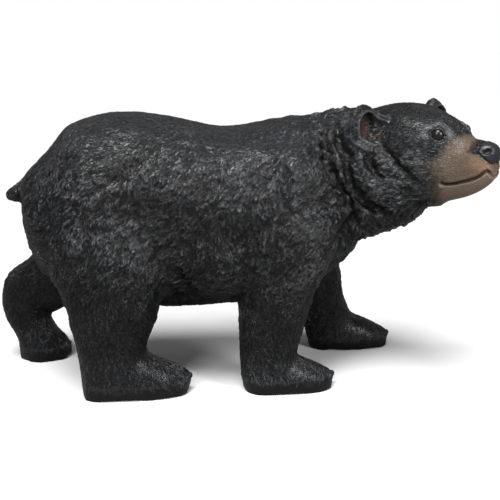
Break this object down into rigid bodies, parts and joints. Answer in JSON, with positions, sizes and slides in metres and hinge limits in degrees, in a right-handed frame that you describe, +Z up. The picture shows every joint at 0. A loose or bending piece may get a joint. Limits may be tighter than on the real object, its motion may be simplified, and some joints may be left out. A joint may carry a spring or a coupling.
{
  "type": "bear sculpture",
  "caption": "Walking black bear sculpture cast in one piece, head turned to its right, standing on flat soles.",
  "frame": {"origin": "on the ground, midway along the length and the width of the whole bear", "axes": "+X the way it walks, tail to nose; +Y to the bear's left; +Z up from the soles"},
  "size_m": [0.7546, 0.3394, 0.4388],
  "materials": {
    "painted_resin": "satin black paint, grey dry-brushed fur, tan muzzle, gloss eyes and nose"
  },
  "bodies": {
    "root": {"bear": "painted_resin"}
  },
  "joints": []
}
